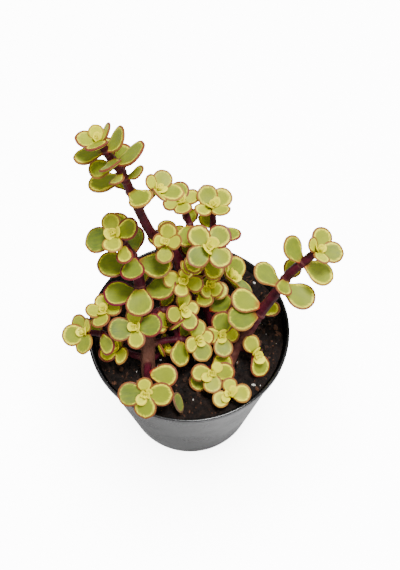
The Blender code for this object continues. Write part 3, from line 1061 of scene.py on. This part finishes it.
def arcPoints(centre, radius, start, end, steps=6):
    angles = [math.radians(start + (end - start) * step / steps) for step in range(steps + 1)]
    x, y = centre
    return [(x + radius * math.cos(angle), y + radius * math.sin(angle)) for angle in angles]


def potProfile(rim, height):
    # outline from the middle of the underside, out and up to the lip, then down inside
    look = potLook
    foot = rim * look["baseShare"]
    body = rim - look["lipOverhang"]
    lip = height - look["lipHeight"]
    bead = look["lipRound"]
    chamfer = look["footChamfer"]
    over, under = look["baseTread"]
    points = [(0.0, look["baseRise"]), (foot - over, look["baseRise"]), (foot - under, 0.0)]
    points += arcPoints((foot - chamfer, chamfer), chamfer, -90, -8, 5)
    slope = (body - foot) / (lip - chamfer)
    for step in range(1, look["outerRows"] + 1):
        level = chamfer + (lip - chamfer) * step / look["outerRows"]
        points.append((foot + slope * (level - chamfer), level))
    points.append((body + look["lipStart"][0], lip + look["lipStart"][1]))
    points += [(rim - inset, lip + rise) for inset, rise in look["lipCorner"]]
    points += arcPoints((rim - bead, height - bead), bead, 0, 90)
    inner = body - look["wall"] + slope * (height - bead - lip)
    points += arcPoints((inner + bead, height - bead), bead, 90, 180)
    for step in range(1, look["innerRows"] + 1):
        level = height - bead - (height - bead - look["floor"]) * step / look["innerRows"]
        points.append((inner - slope * (height - bead - level), level))
    points.append((0.0, look["floor"]))
    return points


def drainCutters():
    look = potLook
    cutters = bmesh.new()
    turn = Matrix.Rotation(math.radians(look["holeTurn"]), 4, "Z")
    for x, y, _ in circle(look["holeCircle"], 0, look["holes"]):
        bmesh.ops.create_cone(
            cutters,
            cap_ends=True,
            segments=look["holeSides"],
            radius1=look["holeRadius"] * millimetre,
            radius2=look["holeRadius"] * millimetre,
            depth=look["holeDepth"] * millimetre,
            matrix=Matrix.Translation((x * millimetre, y * millimetre, 0)) @ turn,
        )
    mesh = bpy.data.meshes.new("drainCutters")
    cutters.to_mesh(mesh)
    cutters.free()
    holder = bpy.data.objects.new("drainCutters", mesh)
    bpy.context.scene.collection.objects.link(holder)
    return holder


def potPiece(material):
    look = potLook
    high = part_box("pot")[1]
    profile = potProfile(high.x / millimetre, high.z / millimetre)
    corners = []
    for radius, level in profile[1:-1]:
        corners += circle(radius, level, look["segments"])
    corners += [(0, 0, profile[0][1]), (0, 0, profile[-1][1])]
    faces = tubeFaces(len(profile) - 2, look["segments"])
    piece = makePiece("pot_look", corners, faces, material)
    cutters = drainCutters()
    cut = piece.modifiers.new("drainHoles", "BOOLEAN")
    cut.operation = "DIFFERENCE"
    cut.object = cutters
    graph = bpy.context.evaluated_depsgraph_get()
    holed = bpy.data.meshes.new_from_object(piece.evaluated_get(graph))
    piece.modifiers.clear()
    piece.data = holed
    bpy.data.objects.remove(cutters)
    holed.set_sharp_from_angle(angle=math.radians(look["sharpAngle"]))
    return putOnRoot(piece, "pot", "pot")


def potMaterial(grain):
    paint = potPaint
    material, tree, shader = newMaterial("potPlastic", Specular_IOR_Level=0.50, IOR=1.5)
    place = objectPlace(tree)
    cloud = placeGroup(tree, grain, Place=place, PatchScale=45.0, GrainScale=420.0, GrainShare=0.3)
    longPlace = stretched(tree, place, (1.0, 1.0, 0.10))
    streak = placeGroup(tree, grain, Place=longPlace, PatchScale=110.0, GrainScale=1600.0, GrainShare=0.4)
    colour = mixColour(tree, streak["Patch"], paint["black"], paint["worn"])
    dusty = fade(tree, cloud["Patch"], 0.5, 1.0)
    colour = layer(tree, colour, paint["dust"], dusty, cloud["Grain"], paint["dustShare"])
    masks = (cloud["Patch"], paint["roughPatch"]), (streak["Grain"], paint["roughGrain"])
    finishShader(tree, shader, colour, paint["rough"], *masks)
    bump(tree, shader, streak["Patch"], paint["bumpStrength"], paint["bumpDepth"])
    return material


# soil

soilLook = {
    "rings": 90,
    "segments": 220,
    "outerCrowding": 0.85,
    "wallGap": 0.12,
    "edgeInset": 0.6,
    "settled": 0.2,
    "depth": 12,
    "footShare": 0.98,
    "footTaper": 0.1,
    "lumps": 1.5,
    "lumpNoise": ((11, 0.6, 21), (4.5, 0.5, 22)),  # size, share, seed
    "crumbs": 0.75,
    "crumbNoise": ((1.9, 1.0, 23), (0.9, 0.6, 24)),
}

# name: material, count, smallest and largest, flatness, seed
soilBits = {
    "soil_chips": ("chips", 950, (0.8, 4.2), 0.40, 31),
    "soil_crumbs": ("chips", 2200, (0.4, 1.3), 0.8, 32),
    "soil_perlite": ("perlite", 90, (0.5, 2.1), 0.85, 33),
}

bitLook = {
    "edgeInset": 1.2,
    "mostlySmall": 2.2,
    "length": (0.6, 1.0),
    "width": (0.35, 0.75),
    "height": (0.35, 0.8),
    "scale": 0.62,
    "broken": (0.72, 1.25),
    "tilt": 0.45,
    "lift": 0.25,
}

soilPaint = {
    "black": (0.0028, 0.0018, 0.0015),
    "brown": (0.013, 0.0065, 0.0042),
    "chipDark": (0.005, 0.0025, 0.0017),
    "chipBrown": (0.098, 0.042, 0.023),
    "white": (0.60, 0.58, 0.54),
    "stain": (0.30, 0.25, 0.19),
    "whiteShare": 0.6,
    "whiteSpread": 0.4,
    "rough": 0.62,
    "roughGrain": 0.25,
    "bumpStrength": 0.8,
    "bumpDepth": 0.25,
}


def soilTopAt(tree, x, y, level):
    hit = tree.ray_cast(Vector((x, y, level + 10)), Vector((0, 0, -1)))
    return hit[0].z if hit[0] is not None else None


def soilHeight(points, base):
    # lumps and crumbs on the level surface
    height = base
    for kind in ("lump", "crumb"):
        noises = [share * noiseAt(points, size, seed) for size, share, seed in soilLook[kind + "Noise"]]
        height = height + soilLook[kind + "s"] * sum(noises)
    return height


def soilPieces(grain):
    # rings of corners lie on the node's own top, and a straight skirt goes down inside the pot
    look = soilLook
    corners, faces = cadMesh("soil")
    solid = BVHTree.FromPolygons(corners.tolist(), faces.tolist())
    low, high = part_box("soil")
    rim, level = high.x / millimetre, high.z / millimetre
    materials = soilMaterials(grain)
    rings, segments = look["rings"], look["segments"]
    points, bases = [(0.0, 0.0, 0.0)], []
    for ring in range(1, rings + 1):
        radius = (rim + look["wallGap"]) * (ring / rings) ** look["outerCrowding"]
        points += circle(radius, 0.0, segments, 0.5 * (ring % 2))
    for x, y, _ in points:
        shrink = min(1.0, (rim - look["edgeInset"]) / max(math.hypot(x, y), 0.001))
        found = soilTopAt(solid, x * shrink, y * shrink, level)
        bases.append(found if found is not None else level - 1)
    heights = soilHeight(points, np.array(bases) - look["settled"])
    corners = [(x, y, z) for (x, y, _), z in zip(points, heights)]
    lowRing = len(corners)
    footRadius = rim * look["footShare"] - (level - low.z / millimetre) * look["footTaper"]
    corners += circle(footRadius, level - look["depth"], segments, 0.5 * (rings % 2))
    corners.append((0, 0, level - look["depth"]))
    faces = []
    for segment in range(segments):
        after = (segment + 1) % segments
        faces.append((0, 1 + segment, 1 + after))
        for ring in range(rings - 1):
            near, far = 1 + ring * segments, 1 + (ring + 1) * segments
            faces.append((near + segment, far + segment, far + after, near + after))
        rimStart = 1 + (rings - 1) * segments
        faces.append((rimStart + segment, lowRing + segment, lowRing + after, rimStart + after))
        faces.append((lowRing + segments, lowRing + after, lowRing + segment))
    soil = makePiece("soil_look", corners, faces, materials["earth"])
    putOnRoot(soil, "soil", "soil")
    surface = BVHTree.FromPolygons(corners, faces)
    for name, (kind, *amounts) in soilBits.items():
        makeBits(name, surface, rim, level, materials[kind], *amounts)


def makeBits(name, surface, rim, level, material, count, sizes, flatness, seed):
    # small broken stones and bark, each a lump of its own half sunk in the soil
    look = bitLook
    chance = random.Random(seed)
    stone = bmesh.new()
    bmesh.ops.create_icosphere(stone, subdivisions=1, radius=1.0)
    base = np.array([vert.co for vert in stone.verts])
    stoneFaces = [tuple(vert.index for vert in face.verts) for face in stone.faces]
    stone.free()
    corners, faces, tones = [], [], []
    made = 0
    while made < count:
        radius = (rim - look["edgeInset"]) * math.sqrt(chance.random())
        angle = chance.uniform(0, math.tau)
        x, y = radius * math.cos(angle), radius * math.sin(angle)
        top = soilTopAt(surface, x, y, level)
        if top is None:
            continue
        size = sizes[0] + (sizes[1] - sizes[0]) * chance.random() ** look["mostlySmall"]
        stretch = np.array([
            size * chance.uniform(*look["length"]),
            size * chance.uniform(*look["width"]),
            size * flatness * chance.uniform(*look["height"]),
        ]) * look["scale"]
        jitter = np.array([[chance.uniform(*look["broken"]) for _ in range(3)] for _ in base])
        tilts = chance.gauss(0, look["tilt"]), chance.gauss(0, look["tilt"])
        turn = Euler((*tilts, chance.uniform(0, math.tau))).to_matrix()
        shape = (base * jitter * stretch) @ np.array(turn).T
        shape += (x, y, top + stretch[2] * look["lift"])
        faces += [tuple(index + len(base) * made for index in face) for face in stoneFaces]
        corners.append(shape)
        tones += [chance.random()] * len(base)
        made += 1
    piece = makePiece(name, np.concatenate(corners), faces, material, smooth=False)
    giveValues(piece, "bitTone", tones)
    return putOnRoot(piece, "soil")


def soilMaterials(grain):
    paint = soilPaint
    found = {}
    for key, dark, light in (
        ("earth", "black", "brown"),
        ("chips", "chipDark", "chipBrown"),
        ("perlite", "stain", "white"),
    ):
        material, tree, shader = newMaterial("soil" + key.capitalize(), Specular_IOR_Level=0.14)
        place = objectPlace(tree)
        crumb = placeGroup(tree, grain, Place=place, PatchScale=420.0, GrainScale=2100.0, GrainShare=0.6)
        share = crumb["Patch"]
        if key == "chips":
            tone = fade(tree, readValue(tree, "bitTone"), 0.35, 1.0)
            share = mathNode(tree, "MULTIPLY", tone, fade(tree, crumb["Grain"], 0.0, 0.6))
        if key == "perlite":
            share = mathNode(tree, "MULTIPLY_ADD", share, paint["whiteSpread"], paint["whiteShare"])
        colour = mixColour(tree, share, paint[dark], paint[light])
        finishShader(tree, shader, colour, paint["rough"], (crumb["Grain"], paint["roughGrain"]))
        bump(tree, shader, crumb["Height"], paint["bumpStrength"], paint["bumpDepth"])
        found[key] = material
    return found


# room, lights and camera

studioLook = {
    "cameraPlace": (0.0, -225.04, 496.04),
    "cameraTurn": (31.389, 0.0935, -1.668),
    "cameraLens": 56.84,
    "cameraSensor": 36,
    "cameraReach": (0.01, 20),  # in metres
    "worldShine": 0.20,  # for every ray
    "worldFill": 0.52,  # added for matt surfaces
    "worldSeen": 12.0,  # added for the camera
    "paper": (0.40, 0.40, 0.40),
    "paperFibre": (0.42, 0.42, 0.42),
    "floorSize": 6000,
    "floorGlow": 12.0,
    "floorShine": 0.22,
    "floorBounce": 1.40,
    "contactReach": 70,
    "contactShade": 0.75,
    "lampAim": (0, 0, 90),
}

# name: place, size, power
studioLights = {
    "topSoftbox": ((120, -60, 900), 240, 12.4),
    "frontSoftbox": ((460, -600, 560), 420, 1.6),
    "leftSoftbox": ((-700, -150, 300), 260, 0.9),
    "backSoftbox": ((520, 560, 420), 380, 3.6),
}


def studioFloor(grain):
    # white to the camera, darker in a mirror and on matt surfaces, and shaded where things stand
    look = studioLook
    half = look["floorSize"] / 2
    corners = [(-half, -half, 0), (half, -half, 0), (half, half, 0), (-half, half, 0)]
    material, tree, shader = newMaterial("studioPaper", Roughness=0.9, Specular_IOR_Level=0.1)
    grained = placeGroup(tree, grain, Place=objectPlace(tree), PatchScale=3.0, GrainScale=160.0)
    colour = mixColour(tree, grained["Height"], look["paper"], look["paperFibre"])
    tree.links.new(colour, shader.inputs["Base Color"])
    path = addNode(tree, "ShaderNodeLightPath").outputs
    near = addNode(tree, "ShaderNodeAmbientOcclusion", {"Distance": look["contactReach"] * millimetre})
    shade = look["contactShade"]
    openness = mathNode(tree, "MULTIPLY_ADD", near.outputs["AO"], shade, 1 - shade)
    seen = mathNode(tree, "MULTIPLY", openness, look["floorGlow"])
    glow = mathNode(tree, "MULTIPLY", path["Is Glossy Ray"], look["floorShine"])
    glow = mathNode(tree, "MULTIPLY_ADD", path["Is Diffuse Ray"], look["floorBounce"], glow)
    glow = mathNode(tree, "MULTIPLY_ADD", path["Is Camera Ray"], seen, glow)
    shader.inputs["Emission Color"].default_value = (1, 1, 1, 1)
    tree.links.new(glow, shader.inputs["Emission Strength"])
    floor = makePiece("studioFloor", corners, [(0, 1, 2, 3)], material)


def studioWorld():
    look = studioLook
    world = bpy.data.worlds.new("studioWorld")
    bpy.context.scene.world = world
    world.use_nodes = True
    tree = world.node_tree
    background = tree.nodes["Background"]
    background.inputs["Color"].default_value = (1, 1, 1, 1)
    path = addNode(tree, "ShaderNodeLightPath").outputs
    strength = look["worldShine"]
    for ray, light in (("Is Diffuse Ray", look["worldFill"]), ("Is Camera Ray", look["worldSeen"])):
        strength = mathNode(tree, "MULTIPLY_ADD", path[ray], light, strength)
    tree.links.new(strength, background.inputs["Strength"])


def studioLamps():
    for name, (place, size, power) in studioLights.items():
        lamp = bpy.data.lights.new(name, "AREA")
        lamp.shape = "DISK"
        lamp.size = size * millimetre
        lamp.energy = power
        holder = bpy.data.objects.new(name, lamp)
        holder.location = Vector(place) * millimetre
        aim = Vector(studioLook["lampAim"]) * millimetre - holder.location
        holder.rotation_euler = aim.to_track_quat("-Z", "Y").to_euler()
        bpy.context.scene.collection.objects.link(holder)


def studioCamera():
    look = studioLook
    camera = bpy.data.cameras.new("studioCamera")
    camera.lens = look["cameraLens"]
    camera.sensor_width = look["cameraSensor"]
    camera.clip_start, camera.clip_end = look["cameraReach"]
    holder = bpy.data.objects.new("studioCamera", camera)
    holder.location = Vector(look["cameraPlace"]) * millimetre
    holder.rotation_euler = [math.radians(angle) for angle in look["cameraTurn"]]
    bpy.context.scene.collection.objects.link(holder)
    bpy.context.scene.camera = holder


def buildBush():
    removeStartScene()
    grain, band = grainGroup(), bandGroup()
    grid = leafGrid()
    freshLeaf = leafMaterial("leafFresh", grain, band, 0.0)
    dullLeaf = leafMaterial("leafDull", grain, band, leafPaint["fallenDullness"])
    names = nodesCalled("lea")
    joints = []
    for order, name in enumerate(names):
        leafPiece(name, dullLeaf if name == "leaf_fallen" else freshLeaf, grid, order)
        if name.startswith("leaves") and not name.endswith("_tip"):
            joints.append(np.mean([leaf["base"] for leaf in leavesOf(name)], axis=0))
    report(f"{len(names)} leaf pieces")
    skin = stemMaterial(grain)
    growSprigs(freshLeaf, skin, grid)
    report(f"{len(sideSprigs)} side sprigs")
    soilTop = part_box("soil")[1].z / millimetre
    for name in nodesCalled("stem"):
        stemPiece(name, joints, skin, soilTop)
    report("stems")
    potPiece(potMaterial(grain))
    report("pot")
    soilPieces(grain)
    report("soil")
    studioFloor(grain)
    studioWorld()
    studioLamps()
    studioCamera()
    report("studio")


buildBush()
